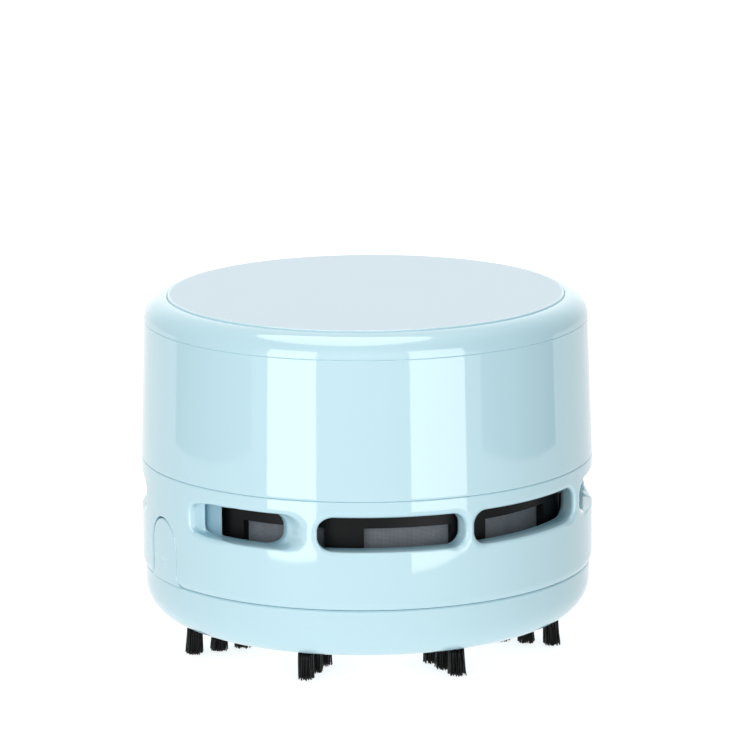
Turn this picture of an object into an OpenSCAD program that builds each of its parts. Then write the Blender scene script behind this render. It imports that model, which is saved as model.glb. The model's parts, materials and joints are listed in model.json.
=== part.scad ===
// Desktop mini vacuum cleaner: a round, battery-driven table sweeper.
// It stands on bristle tufts. A tray with an inlet chimney catches the crumbs, a fan under the
// motor deck draws the air in, and the air leaves through a mesh cage and the vent slots.
// Frame: millimetres, +Z up, origin on the table at the middle of the part.
// The release tabs lie on the X axis, the two groups of vents face -Y and +Y.

/* [Housing] */
// How far the sleeve draws in on each side towards its top
sleeve_draft = 0.85; // [0:0.05:1.2]
// Wall of the sleeve, the vent shell and the tray
wall = 2; // [1.6:0.1:2.4]
// Height of the vent shell between its seams
shell_h = 20.35; // [19.5:0.05:24]
// Width and depth of the fine groove at each seam
groove = 0.25; // [0.1:0.05:0.4]
// Play between pieces that slide into each other
fit = 0.25; // [0.15:0.05:0.4]
// Gap between the faces of pieces that part in use
part_gap = 0.1; // [0.05:0.05:0.2]

/* [Vents] */
// Height of a vent slot
slot_h = 6.25; // [5:0.25:7]
// Length of the two middle slots of a group, across the pull of the mould
slot_mid_w = 25.7; // [20:0.1:26]
// Length of the two outer slots of a group where they go through
slot_end_w = 8.6; // [6:0.1:9]
// Shallow run-out of an outer slot past its through opening
slot_runout = 4.35; // [2:0.05:4.5]
// Bar between neighbouring slots
slot_bar = 1.8; // [1.4:0.1:2.6]
// Corner radius of a slot
slot_r = 2.5; // [1:0.25:2.5]
// Distance from the sleeve seam down to the slots
slot_drop = 3.1; // [2.6:0.1:4]
// Radial thickness of the band that the slots go through
band_t = 4.2; // [3.4:0.1:4.4]

/* [Dust tray] */
// Height of the tray from its underside to its seam
tray_h = 9.85; // [9.5:0.05:13]
// How far the tray stands in from the vent shell
tray_step = 0.5; // [0.2:0.1:0.8]
// Radius of the tray's lower edge
tray_round = 6.7; // [5:0.1:8]
// Height of the rim that slides into the vent shell
rim_h = 4.5; // [3:0.1:6]
// Thickness of that rim
rim_t = 1.8; // [1.4:0.1:2.2]
// Radius of the inlet through the chimney
inlet_r = 8; // [6:0.5:9]
// Height of the chimney from the underside of the tray
chimney_h = 13; // [10:0.5:14]
// Wall of the chimney
chimney_t = 1.6; // [1.2:0.1:2]

/* [Release tabs] */
// Width of a release tab
tab_w = 9.8; // [8:0.1:12]
// Height of a release tab above the tray seam
tab_h = 11.95; // [9:0.05:13]
// Thickness of a release tab
tab_t = 1.8; // [1.4:0.1:2.2]
// How deep a release tab lies below the face of the vent shell
tab_sunk = 0.15; // [0:0.05:0.3]
// Gap round a release tab
tab_gap = 0.3; // [0.2:0.05:0.5]

/* [Bristles] */
// Free length of the bristles
bristle_h = 4.8; // [3.5:0.1:7]
// Rows of tufts round the tray
row_count = 8; // [6:1:8]
// Tufts in a row
tuft_count = 3; // [2:1:3]
// Distance from the side of the tray in to the outermost tuft
tuft_inset = 5.9; // [5:0.1:8]
// Distance between the tufts of a row
tuft_pitch = 5; // [4.8:0.1:6]
// Diameter of a tuft at its root
tuft_d = 3; // [2.6:0.1:3.4]
// How far the tips lean outwards
tuft_splay = 0.2; // [0:0.1:1.4]
// Strands in a tuft
strand_count = 16; // [13:1:20]
// Thickness of a strand
strand_d = 0.36; // [0.3:0.02:0.4]

/* [Cap and button] */
// Height of the battery cap above its seam
cap_h = 4.55; // [4:0.05:7]
// Depth of the cap's spigot in the sleeve
spigot_h = 3.4; // [2:0.1:5]
// Gap round the power button
button_gap = 0.15; // [0.1:0.05:0.3]
// Thickness of the power button's disc
button_t = 1.6; // [1.2:0.1:2]
// Travel of the power button
button_travel = 1.8; // [1:0.1:2]

/* [Drive] */
// Diameter of the motor can
motor_d = 24; // [20:0.1:24.4]
// Height of the motor can; the sleeve's height follows from it and from the switch over it
motor_h = 16; // [14:0.5:18]
// Diameter of the motor shaft
shaft_d = 2; // [1.5:0.1:2.5]
// Diameter of the fan
fan_d = 50; // [40:1:60]
// Height of the fan blades
blade_h = 8; // [5:0.5:9]
// Number of fan blades
blade_count = 9; // [6:1:12]
// Thickness of a fan blade
blade_t = 1; // [0.8:0.1:1.4]
// Thickness of the motor deck
deck_t = 2; // [1.6:0.1:2.4]

/* [Filter] */
// Windows round the filter cage
window_count = 10; // [6:1:12]
// Width of the posts between the windows, as an angle
post_angle = 11; // [6:0.5:14]
// How far the cage is turned in its seat
cage_turn = 3; // [0:1:20]
// Height of the cage
cage_h = 15.5; // [14:0.1:15.5]
// Height of the black band above the windows
cage_band_h = 4; // [3:0.1:5]

/* [Battery] */
// Diameter of a cell; the housing's diameter follows from the cells and from what lies round them
cell_d = 14.5; // [13.5:0.1:14.5]
// Length of a cell with its button end
cell_l = 50.5; // [49:0.1:50.5]
// Length of a battery spring as fitted
spring_l = 3; // [2.5:0.1:3.5]
// Thickness of the contact strip
contact_t = 0.5; // [0.3:0.1:0.6]

/* [Hidden] */
$fn = 96;

// Small overlap that makes joined shapes one solid, and the overrun of a cutter
weld = 0.05;
over = 1;

// Levels, from the table up
tray_z = bristle_h;
tray_seam = tray_z + tray_h;
mid_seam = tray_seam + shell_h;

// Row of pieces from the motor deck up to the cap's seam
can_top = mid_seam + motor_h;
end_cap_h = 2;
post_top = can_top + end_cap_h;
bracket_t = 1.6;
switch_z = post_top + bracket_t;
switch_h = 4.5;
switch_top = switch_z + switch_h;
plunger_up = 1.8;
plunger_top = switch_top + plunger_up;
seam_up = 0.05;
cap_seam = plunger_top + seam_up;
top_z = cap_seam + cap_h;

// Row of pieces along the cells, from the axis out to the sleeve's bosses
cell_r = cell_d / 2;
contact_y = (cell_l + spring_l) / 2;
cradle_end_t = 1.5;
cradle_end_y = contact_y + contact_t + cradle_end_t;
sleeve_boss_r = 2.8;
boss_gap = 0.2;
sleeve_boss_y = cradle_end_y + fit + sleeve_boss_r + boss_gap;
deck_screw_head_r = 2.1;

// Row of pieces under the deck, from those bosses' screws out to the face of the housing
cage_pilot_t = 0.7;
cage_lip = 0.9;
cage_t = 1.4;
cage_gap = 0.7;
cage_pilot_r = sleeve_boss_y + deck_screw_head_r + fit + cage_pilot_t;
cage_bore_r = cage_pilot_r + fit;
cage_rebate_r = cage_bore_r + cage_lip;
cage_r = cage_rebate_r + cage_t;
band_r = cage_r + cage_gap;

// Radii of the outer faces and of the bores behind them
body_r = band_r + band_t;
sleeve_top_r = body_r - sleeve_draft;
tray_r = body_r - tray_step;
shell_bore_r = body_r - wall;

// Motor deck: its plate closes the fan chamber, its rim centres the sleeve and the vent shell
deck_z = mid_seam - deck_t;
deck_rim_r = shell_bore_r - fit;
deck_rim_t = 1;
deck_rim_up = 3;
bead_h = 0.8;
bead_out = 0.3;
bead_z = deck_z + 0.8;
cage_pilot_h = 1.2;

// Filter cage: the mesh lies in a rebate behind the windows
mesh_t = 0.4;
mesh_play = 0.1;
cage_z = deck_z - cage_h;
cage_edge = 1;
cage_foot_h = 3;
window_angle = 360 / window_count - post_angle;

// Vent slots
slot_top = mid_seam - slot_drop;
slot_z = slot_top - slot_h;
band_floor = 1.25;
band_z = slot_z - band_floor;
slot_mid_x = slot_bar / 2;
slot_end_x = slot_mid_x + slot_mid_w + slot_bar;
slot_end_reach = slot_end_x + slot_end_w;
slot_far_x = slot_end_reach + slot_runout;
runout_depth = 3.1;
runout_rest = 0.4;
runout_y = sqrt(pow(body_r, 2) - pow(min(slot_far_x, body_r - runout_rest), 2));
shell_lip_h = 1;

// Dust tray
rim_r = shell_bore_r - fit;
rim_z = tray_seam + rim_h;
inlet_flare = 1;
tab_relief = 1.2;
tab_face_r = body_r - tab_sunk;
tab_root_gap = 0.04;
tab_root_fillet = 2;
tab_mark_w = 3.4;
tab_mark_h = 1.8;
tab_mark_z = tray_seam + 3.4;
tab_mark_depth = 0.25;

// Bristle tufts: the plug of each sits in a blind hole of the tray's floor
tuft_r_out = tray_r - tuft_inset;
tuft_sink = 1.2;
tuft_play = 0.1;
plug_up = 0.1;
plug_gap = 0.05;
plug_h = tuft_sink - plug_up - plug_gap;
tuft_spread = 1.22;
strand_sink = 0.3;
strand_edge = 0.24;
golden = 137.508;

// Battery cap and power button
cap_skirt = 0.15;
cap_round = cap_h - cap_skirt;
cap_bore_r = sleeve_top_r - cap_round;
cap_spigot_r = sleeve_top_r - wall - fit;
cap_spigot_t = 1.5;
ledge_up = 0.3;
ledge_top = cap_seam + ledge_up;
ledge_t = 1.3;
ledge_in = 2.8;
button_r = cap_bore_r - button_gap;
button_bevel = 0.45;
button_z = top_z - button_t;
button_skirt_t = 1.4;
button_stop_gap = 0.2;
button_rib_t = 1.2;
button_rib_h = 1.5;
button_rib_inset = 8;
button_rib_r = cap_bore_r - button_rib_inset;
leg_inset = 2.2;
leg_r = cap_bore_r - leg_inset;
leg_t = 1;
leg_play = 0.2;
leg_angle = 8;
leg_slot_angle = 10;
leg_count = 3;
barb_out = 0.7;
barb_h = 0.75;
barb_gap = 0.3;

// Motor, shaft and fan
motor_r = motor_d / 2;
motor_play = 0.15;
can_t = 1;
end_cap_in = 2.2;
nose_r = 3;
nose_h = 1.5;
nose_play = 0.2;
shaft_r = shaft_d / 2;
shaft_play = 0.05;
magnet_t = 2.4;
magnet_angle = 120;
magnet_glue = 0.05;
magnet_clear = 2;
magnet_top_gap = 0.3;
air_gap = 0.4;
armature_r = motor_r - can_t - magnet_t - air_gap;
armature_teeth = 3;
winding_r = 1.7;
winding_depth = 2.6;
winding_slot = 1.4;
commutator_r = 3;
commutator_h = 1.6;
stack_top_gap = 2;
shaft_end_gap = 0.3;
end_cap_gap = 0.05;
end_cap_roof = 0.4;
bearing_h = 1;
fan_r = fan_d / 2;
fan_plate_t = 1.2;
fan_gap = 2.2;
fan_top = deck_z - fan_gap;
fan_plate_z = fan_top - fan_plate_t;
hub_r = 4.5;
hub_tip_r = 2.6;
blade_in_r = 9.5;
blade_bow = 17;
blade_sweep = 38;
blade_edge = 0.3;
hub_short = 1;
hub_flare = 2;
shaft_short = 1.6;
shaft_low_z = fan_plate_z - blade_h + shaft_short;
motor_screw_x = 8;
motor_screw_r = 1;
motor_screw_head_r = 1.9;
screw_head_h = 1.3;
screw_drive_r = 0.55;
screw_drive_depth = 0.7;

// Battery holder
cell_play = 0.15;
cell_rib = 0.75;
cell_side = 0.3;
cell_x = motor_r + motor_play + cell_rib + cell_play + cell_r + cell_side;
holder_floor = 1.4;
cell_z = mid_seam + holder_floor + cell_play + cell_r;
nub_r = 2.75;
nub_h = 1;
nub_gap = 0.03;
holder_r = deck_rim_r - deck_rim_t - fit;
cradle_h = 11.5;
cradle_wall = 1.3;
channel_step = 0.75;
channel_y = contact_y - channel_step;
contact_w = 9;
contact_h = 9;
contact_play = 0.1;
contact_z = cell_z - contact_h / 2;
contact_window = 8;
tag_w = 2.4;
tag_h = 3;
post_y = 22.5;
post_r = 3.4;
collar_h = 8;
collar_t = 1.4;
holder_rib_t = 2.4;
deck_screw_r = 1.1;
deck_screw_l = 9;
screw_end_gap = 0.5;
screw_play = 0.2;
sleeve_boss_h = 12;
sleeve_web_t = 1.6;

// Battery springs: a tapering coil of round wire
coil_turns = 2.5;
coil_wire_r = 0.3;
coil_wide_r = 3.2;
coil_narrow_r = 2;
coil_sides = 6;
coil_steps = 12;
coil_gap = 0.05;

// Power switch on its bracket over the motor
bracket_screw_l = 6;
bracket_w = 12;
bracket_l = 2 * (post_y + post_r);
switch_w = 8.5;
switch_floor = 0.8;
clip_gap = 0.1;
clip_t = 1;
clip_w = 6;
clip_h = 3;
plunger_r = 1.85;
plunger_play = 0.07;
plunger_floor_gap = 0.1;
plunger_z = switch_z + switch_floor + button_travel + plunger_floor_gap;
stem_r = 3;
stem_gap = 0.1;
terminal_w = 2;
terminal_t = 0.5;
terminal_x = 8.2;
terminal_h = 3;
pin_l = 1.6;
pin_w = 1.2;
pin_t = 0.5;
pin_y = 2.4;
pin_up = 1;
pin_z = switch_z + pin_up;

// Leads
wire_d = 1.2;
wire_r = wire_d / 2;
wire_touch = 0.2;
wire_lift = [7, -4, 3];
wire_reach = 8;
pole_reach = 6;

// ---------------------------------------------------------------- shared shapes

// Rectangle with round corners, from its lower left corner
module round_rect(w, h, r) {
    translate([r, 0]) square([w - 2 * r, h]);
    translate([0, r]) square([w, h - 2 * r]);
    for (x = [r, w - r], y = [r, h - r]) {
        translate([x, y]) circle(r = r, $fn = 48);
    }
}

// Ring with a square section
module ring(r_in, r_out, z, h) {
    translate([0, 0, z]) difference() {
        cylinder(r = r_out, h = h);
        translate([0, 0, -over]) cylinder(r = r_in, h = h + 2 * over);
    }
}

// Piece of a ring, centred on the direction at angle a
module ring_piece(r_in, r_out, z, h, a, width) {
    translate([0, 0, z]) rotate([0, 0, a - width / 2]) rotate_extrude(angle = width) {
        translate([r_in, 0]) square([r_out - r_in, h]);
    }
}

// Points of a cubic curve with end points a and d and handles b and c
function curve(a, b, c, d, steps) = [for (i = [0 : steps]) let (t = i / steps, u = 1 - t)
    u * u * u * a + 3 * u * u * t * b + 3 * u * t * t * c + t * t * t * d];

function unit(v) = v / norm(v);

// Direction of a path at point i
function heading(path, i) = unit(path[min(i + 1, len(path) - 1)] - path[max(i - 1, 0)]);

// Round wire along a path that never runs straight up
module wire(path, r, sides) {
    count = len(path);
    points = [for (i = [0 : count - 1]) let (
        ahead = heading(path, i),
        across = unit(cross([0, 0, 1], ahead)),
        upward = cross(ahead, across)
    ) for (k = [0 : sides - 1]) let (a = 360 * k / sides)
        path[i] + r * (cos(a) * across + sin(a) * upward)];
    skin = [for (i = [0 : count - 2], k = [0 : sides - 1]) let (
        a = i * sides + k,
        b = i * sides + (k + 1) % sides
    ) each [[a, a + sides, b + sides], [a, b + sides, b]]];
    last = (count - 1) * sides;
    first_end = [for (k = [1 : sides - 2]) [0, k, k + 1]];
    last_end = [for (k = [1 : sides - 2]) [last, last + k + 1, last + k]];
    polyhedron(points = points, faces = concat(skin, first_end, last_end));
}

// Screw that points up, its head below level z
module screw_up(x, y, z, r, length, head_r) {
    translate([x, y, z]) difference() {
        union() {
            translate([0, 0, -weld]) cylinder(r = r, h = length + weld, $fn = 32);
            translate([0, 0, -screw_head_h]) cylinder(r = head_r, h = screw_head_h, $fn = 32);
        }
        translate([0, 0, -screw_head_h - over]) {
            cylinder(r = screw_drive_r, h = over + screw_drive_depth, $fn = 6);
        }
    }
}

// Section of the outside of the tray, or of its inside when inset by the wall
module tray_section(inset) {
    round_r = tray_round - inset;
    translate([0, tray_z + inset]) square([tray_r - tray_round, tray_h + rim_h]);
    translate([0, tray_z + tray_round]) square([tray_r - inset, tray_h + rim_h]);
    translate([tray_r - tray_round, tray_z + tray_round]) circle(r = round_r);
}

// Outline of a release tab in the plane across the X axis, grown by a margin
module tab_outline(margin) {
    arch_r = tab_w / 2 + margin;
    straight = tab_h - tab_w / 2;
    translate([-arch_r, -over]) square([2 * arch_r, straight + over]);
    translate([0, straight]) circle(r = arch_r, $fn = 64);
}

// The slots of one group, seen along the pull of the mould; both sides mirrored by the caller.
// An outer slot has round corners in its run-out and a square far end where it goes through.
module mid_slot() {
    translate([slot_mid_x, slot_z]) round_rect(slot_mid_w, slot_h, slot_r);
}

module end_slot(w) {
    translate([slot_end_x, slot_z]) round_rect(w, slot_h, slot_r);
}

// ---------------------------------------------------------------- dust tray

module tuft_places(row) {
    for (i = [0 : tuft_count - 1]) {
        rotate([0, 0, row * 360 / row_count]) translate([tuft_r_out - i * tuft_pitch, 0, 0]) children();
    }
}

module tray_wall() {
    rotate_extrude() difference() {
        union() {
            intersection() {
                tray_section(0);
                translate([0, tray_z]) square([body_r, tray_h]);
            }
            translate([rim_r - rim_t, tray_z + tray_round]) {
                square([rim_t, rim_z - tray_z - tray_round]);
            }
        }
        difference() {
            tray_section(wall);
            translate([rim_r - rim_t, tray_seam - rim_t - wall]) square([wall + rim_t, tray_h + rim_h]);
        }
        translate([tray_r - groove, tray_seam]) rotate([0, 0, -45]) square(2 * groove);
    }
}

module chimney() {
    rotate_extrude() {
        translate([inlet_r, tray_z]) square([chimney_t, chimney_h - chimney_t / 2]);
        translate([inlet_r + chimney_t / 2, tray_z + chimney_h - chimney_t / 2]) {
            circle(r = chimney_t / 2, $fn = 32);
        }
    }
}

module dust_tray() color("lightblue") difference() {
    union() {
        tray_wall();
        chimney();
    }
    translate([0, 0, tray_z - over]) cylinder(r = inlet_r, h = wall + 2 * over);
    translate([0, 0, tray_z - weld]) {
        cylinder(r1 = inlet_r + inlet_flare, r2 = inlet_r, h = inlet_flare);
    }
    for (row = [0 : row_count - 1]) {
        tuft_places(row) translate([0, 0, tray_z - over]) {
            cylinder(r = tuft_d / 2 + tuft_play, h = tuft_sink + over, $fn = 32);
        }
    }
    for (side = [-1, 1]) {
        translate([side * body_r, 0, tray_seam + rim_h]) {
            cube([4 * wall + 2 * rim_t, tab_w + 2 * tab_relief, 2 * rim_h], center = true);
        }
    }
}

// ---------------------------------------------------------------- bristles

// One strand: a thin three-sided spike from its root in the plug to its flat tip on the table
module strand(root, tip) {
    corners = [for (k = [0 : 2]) strand_d / sqrt(3) * [cos(120 * k), sin(120 * k)]];
    low = [for (c = corners) [tip[0] + c[0], tip[1] + c[1], 0]];
    high = [for (c = corners) [root[0] + c[0], root[1] + c[1], tray_z + strand_sink]];
    sides = [for (k = [0 : 2]) each [[k, 3 + k, (k + 1) % 3], [(k + 1) % 3, 3 + k, 3 + (k + 1) % 3]]];
    polyhedron(points = concat(low, high), faces = concat([[0, 1, 2]], [[5, 4, 3]], sides));
}

module tuft() {
    spread_r = tuft_d / 2 - strand_edge;
    translate([0, 0, tray_z + plug_up]) cylinder(r = tuft_d / 2, h = plug_h, $fn = 12);
    for (i = [0 : strand_count - 1]) {
        reach = spread_r * sqrt((i + 0.5) / strand_count);
        root = reach * [cos(golden * i), sin(golden * i)];
        strand(root, tuft_spread * root + [tuft_splay, 0]);
    }
}

module brush_row(row) color("black") {
    tuft_places(row) tuft();
}

// ---------------------------------------------------------------- release tabs

// The tab on the +X side; it hinges at its root on the tray's rim
module release_tab() difference() {
    intersection() {
        ring(tab_face_r - tab_t, tab_face_r, tray_seam + tab_root_gap, tab_h);
        translate([0, 0, tray_seam]) rotate([90, 0, 90]) linear_extrude(body_r + over) tab_outline(0);
    }
    translate([tab_face_r - tab_mark_depth, 0, tab_mark_z]) rotate([90, 0, 90]) {
        linear_extrude(over) {
            polygon([
                [-tab_mark_w / 2, tab_mark_h / 2],
                [tab_mark_w / 2, tab_mark_h / 2],
                [0, -tab_mark_h / 2]
            ]);
        }
    }
}

module release_tab_right() color("lightblue") release_tab();

module release_tab_left() color("lightblue") rotate([0, 0, 180]) release_tab();

// ---------------------------------------------------------------- vent shell

module shell_wall() {
    rotate_extrude() difference() {
        polygon([
            [shell_bore_r, tray_seam + part_gap],
            [tray_r - groove, tray_seam + part_gap],
            [tray_r, tray_seam + part_gap + groove],
            [body_r, tray_seam + part_gap + groove + shell_lip_h],
            [body_r, mid_seam - groove],
            [body_r - groove, mid_seam],
            [shell_bore_r, mid_seam],
            [shell_bore_r, deck_z],
            [band_r, deck_z],
            [band_r, band_z],
            [shell_bore_r, band_z - band_t / 4]
        ]);
        translate([shell_bore_r - over, bead_z - fit / 2]) square([over + bead_out + fit / 4, bead_h + fit]);
    }
}

module slot_cutters() {
    for (side = [0, 1], turn = [0, 180]) {
        rotate([0, 0, turn]) mirror([side, 0, 0]) {
            rotate([90, 0, 0]) linear_extrude(body_r + over) {
                mid_slot();
                end_slot(slot_end_w);
                translate([slot_end_reach - slot_r, slot_z]) square([slot_r, slot_h]);
            }
            difference() {
                translate([0, -runout_y, 0]) rotate([90, 0, 0]) linear_extrude(body_r) {
                    end_slot(slot_end_w + slot_runout);
                }
                cylinder(r = body_r - runout_depth, h = mid_seam);
            }
        }
    }
}

module vent_shell() color("lightblue") difference() {
    shell_wall();
    slot_cutters();
    for (turn = [0, 180]) {
        rotate([0, 0, turn]) translate([band_r - over, 0, tray_seam]) rotate([90, 0, 90]) {
            linear_extrude(2 * band_t) {
                tab_outline(tab_gap);
                difference() {
                    translate([-tab_w / 2 - tab_gap - tab_root_fillet, -over]) {
                        square([tab_w + 2 * tab_gap + 2 * tab_root_fillet, over + tab_root_fillet]);
                    }
                    for (side = [-1, 1]) {
                        translate([side * (tab_w / 2 + tab_gap + tab_root_fillet), tab_root_fillet]) {
                            circle(r = tab_root_fillet, $fn = 48);
                        }
                    }
                }
            }
        }
    }
}

// ---------------------------------------------------------------- filter

module filter_cage() color("dimgray") difference() {
    ring(cage_bore_r, cage_r, cage_z, cage_h);
    ring(0, cage_rebate_r, cage_z + cage_edge, cage_h - 2 * cage_edge);
    for (i = [0 : window_count - 1]) {
        ring_piece(
            cage_rebate_r - over, cage_r + over, cage_z + cage_foot_h, cage_h - cage_foot_h - cage_band_h,
            -90 + cage_turn + (i + 0.5) * 360 / window_count, window_angle
        );
    }
}

module filter_mesh() color("gray") {
    mesh_r = cage_rebate_r - mesh_play;
    ring(mesh_r - mesh_t, mesh_r, cage_z + cage_edge + mesh_play, cage_h - 2 * cage_edge - 2 * mesh_play);
}

// ---------------------------------------------------------------- motor deck

module motor_deck() color("whitesmoke") difference() {
    union() {
        translate([0, 0, deck_z]) cylinder(r = deck_rim_r - weld, h = deck_t);
        ring(deck_rim_r - deck_rim_t, deck_rim_r, deck_z, deck_t + deck_rim_up);
        ring(deck_rim_r - weld, deck_rim_r + bead_out, bead_z, bead_h);
        ring(cage_pilot_r - cage_pilot_t, cage_pilot_r, deck_z - cage_pilot_h, cage_pilot_h + weld);
    }
    translate([0, 0, deck_z - over]) cylinder(r = nose_r + nose_play, h = deck_t + 2 * over);
    for (side = [-1, 1]) {
        for (y = [post_y, sleeve_boss_y]) {
            translate([0, side * y, deck_z - over]) {
                cylinder(r = deck_screw_r + screw_play, h = deck_t + 2 * over, $fn = 32);
            }
        }
        translate([side * motor_screw_x, 0, deck_z - over]) {
            cylinder(r = motor_screw_r + screw_play, h = deck_t + 2 * over, $fn = 32);
        }
    }
}

module deck_screws() color("silver") {
    for (side = [-1, 1], y = [post_y, sleeve_boss_y]) {
        screw_up(0, side * y, deck_z, deck_screw_r, deck_screw_l, deck_screw_head_r);
    }
}

// ---------------------------------------------------------------- motor

module motor_can() color("silver") difference() {
    union() {
        translate([0, 0, mid_seam]) cylinder(r = motor_r, h = motor_h);
        translate([0, 0, mid_seam - nose_h]) cylinder(r = nose_r, h = nose_h + weld);
    }
    translate([0, 0, mid_seam + can_t]) cylinder(r = motor_r - can_t, h = motor_h);
    translate([0, 0, mid_seam - nose_h - over]) {
        cylinder(r = shaft_r + shaft_play, h = nose_h + can_t + 2 * over);
    }
    for (side = [-1, 1]) {
        translate([side * motor_screw_x, 0, mid_seam - over]) {
            cylinder(r = motor_screw_r + shaft_play, h = can_t + 2 * over, $fn = 32);
        }
    }
}

module motor_magnets() color("darkslategray") {
    for (a = [0, 180]) {
        ring_piece(
            motor_r - can_t - magnet_t, motor_r - can_t - magnet_glue, mid_seam + can_t + magnet_clear,
            motor_h - can_t - end_cap_in - magnet_clear - magnet_top_gap, 90 + a, magnet_angle
        );
    }
}

module motor_armature() color("peru") difference() {
    stack_z = mid_seam + can_t + magnet_clear;
    stack_h = motor_h - can_t - end_cap_in - magnet_clear - stack_top_gap;
    union() {
        translate([0, 0, stack_z]) cylinder(r = armature_r, h = stack_h);
        translate([0, 0, stack_z]) cylinder(r = commutator_r, h = stack_h + commutator_h);
    }
    for (i = [0 : armature_teeth - 1]) {
        rotate([0, 0, i * 360 / armature_teeth]) translate([0, 0, stack_z - over]) {
            translate([armature_r - winding_depth, 0, 0]) cylinder(r = winding_r, h = stack_h + 2 * over);
            translate([armature_r - winding_depth, -winding_slot / 2, 0]) {
                cube([winding_depth + over, winding_slot, stack_h + 2 * over]);
            }
        }
    }
    translate([0, 0, stack_z - over]) cylinder(r = shaft_r, h = motor_h);
}

module motor_shaft() color("silver") {
    translate([0, 0, shaft_low_z]) cylinder(r = shaft_r, h = can_top - shaft_end_gap - shaft_low_z);
}

module motor_end_cap() color("ivory") difference() {
    union() {
        translate([0, 0, can_top]) cylinder(r = motor_r, h = end_cap_h);
        translate([0, 0, can_top - end_cap_in]) {
            cylinder(r = motor_r - can_t - end_cap_gap, h = end_cap_in + weld);
        }
    }
    translate([0, 0, can_top - end_cap_in - over]) {
        cylinder(r = armature_r, h = end_cap_in + over - end_cap_roof);
    }
    translate([0, 0, can_top - bearing_h]) cylinder(r = shaft_r + shaft_play, h = bearing_h);
}

module motor_terminals() color("gold") {
    for (side = [-1, 1]) {
        translate([side * terminal_x - terminal_t / 2, -terminal_w / 2, post_top]) {
            cube([terminal_t, terminal_w, terminal_h]);
        }
    }
}

module motor_screws() color("silver") {
    for (side = [-1, 1]) {
        screw_up(side * motor_screw_x, 0, deck_z, motor_screw_r, deck_t + can_t, motor_screw_head_r);
    }
}

// ---------------------------------------------------------------- fan

// One blade: an arc from the eye to the rim, bowed by its own radius
module blade() {
    from = [blade_in_r, 0];
    to = (fan_r - blade_edge) * [cos(blade_sweep), sin(blade_sweep)];
    middle = (from + to) / 2;
    chord = to - from;
    half = norm(chord) / 2;
    centre = middle + sqrt(pow(blade_bow, 2) - pow(half, 2)) * [chord[1], -chord[0]] / norm(chord);
    start = atan2(to[1] - centre[1], to[0] - centre[0]);
    turn = 2 * asin(half / blade_bow);
    translate([centre[0], centre[1], fan_plate_z - blade_h]) rotate([0, 0, start]) {
        rotate_extrude(angle = turn) {
            translate([blade_bow - blade_t / 2, 0]) square([blade_t, blade_h + weld]);
        }
    }
}

module fan() color("white") difference() {
    union() {
        translate([0, 0, fan_plate_z]) cylinder(r = fan_r, h = fan_plate_t);
        translate([0, 0, fan_plate_z - blade_h + hub_short]) {
            cylinder(r1 = hub_tip_r, r2 = hub_r + hub_flare, h = blade_h - hub_short + weld);
        }
        for (i = [0 : blade_count - 1]) {
            rotate([0, 0, i * 360 / blade_count]) blade();
        }
    }
    translate([0, 0, shaft_low_z]) cylinder(r = shaft_r, h = blade_h + fan_plate_t);
}

// ---------------------------------------------------------------- batteries and contacts

module cradle(side) {
    inner = motor_r + motor_play + cell_rib;
    outer = cell_x + cell_r + cell_play + cradle_wall;
    translate([side > 0 ? inner : -outer, -cradle_end_y, mid_seam]) {
        cube([outer - inner, 2 * cradle_end_y, cradle_h]);
    }
}

module cell_channel(side) {
    channel_r = cell_r + cell_play;
    translate([side * cell_x, 0, cell_z]) {
        rotate([90, 0, 0]) cylinder(r = channel_r, h = 2 * channel_y, center = true);
        translate([-channel_r, -channel_y, 0]) cube([2 * channel_r, 2 * channel_y, cradle_h]);
        translate([-contact_window / 2, -contact_y, -contact_window / 2]) {
            cube([contact_window, 2 * contact_y, cradle_h]);
        }
    }
}

module contact_slots() {
    slot_y = contact_y - contact_play;
    slot_t = contact_t + 2 * contact_play;
    slot_w = contact_w + 2 * contact_play;
    for (side = [-1, 1]) {
        translate([side * cell_x - slot_w / 2, -slot_y - slot_t, contact_z - contact_play]) {
            cube([slot_w, slot_t, cradle_h]);
        }
    }
    translate([-cell_x - slot_w / 2, slot_y, contact_z - contact_play]) {
        cube([2 * cell_x + slot_w, slot_t, cradle_h]);
    }
}

module battery_holder() color("whitesmoke") difference() {
    intersection() {
        translate([0, 0, mid_seam]) cylinder(r = holder_r, h = post_top - mid_seam);
        union() {
            for (side = [-1, 1]) {
                cradle(side);
                translate([0, side * post_y, mid_seam]) cylinder(r = post_r, h = post_top - mid_seam);
                translate([0, side * (cradle_end_y + channel_y) / 2, mid_seam + cradle_h / 2]) {
                    cube([2 * cell_x, cradle_end_y - channel_y, cradle_h], center = true);
                }
            }
            translate([0, 0, mid_seam]) cylinder(r = motor_r + motor_play + collar_t, h = collar_h);
            translate([-holder_rib_t / 2, -channel_y - weld, mid_seam]) {
                cube([holder_rib_t, 2 * channel_y + 2 * weld, collar_h]);
            }
        }
    }
    translate([0, 0, mid_seam - over]) cylinder(r = motor_r + motor_play, h = post_top);
    for (side = [-1, 1]) {
        cell_channel(side);
        translate([0, side * post_y, mid_seam - over]) {
            cylinder(r = deck_screw_r, h = over + deck_screw_l - deck_t + screw_end_gap, $fn = 32);
        }
        translate([0, side * post_y, post_top - bracket_screw_l]) {
            cylinder(r = deck_screw_r, h = bracket_screw_l + over, $fn = 32);
        }
    }
    contact_slots();
}

// A cell along Y; its button end looks along +Y
module cell() color("darkseagreen") {
    flat_y = -contact_y + spring_l;
    translate([0, flat_y, 0]) rotate([-90, 0, 0]) cylinder(r = cell_r, h = cell_l - nub_h);
    translate([0, flat_y, 0]) rotate([-90, 0, 0]) cylinder(r = nub_r, h = cell_l - nub_gap, $fn = 48);
}

module battery_right() translate([cell_x, 0, cell_z]) cell();

module battery_left() translate([-cell_x, 0, cell_z]) rotate([0, 0, 180]) cell();

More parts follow.
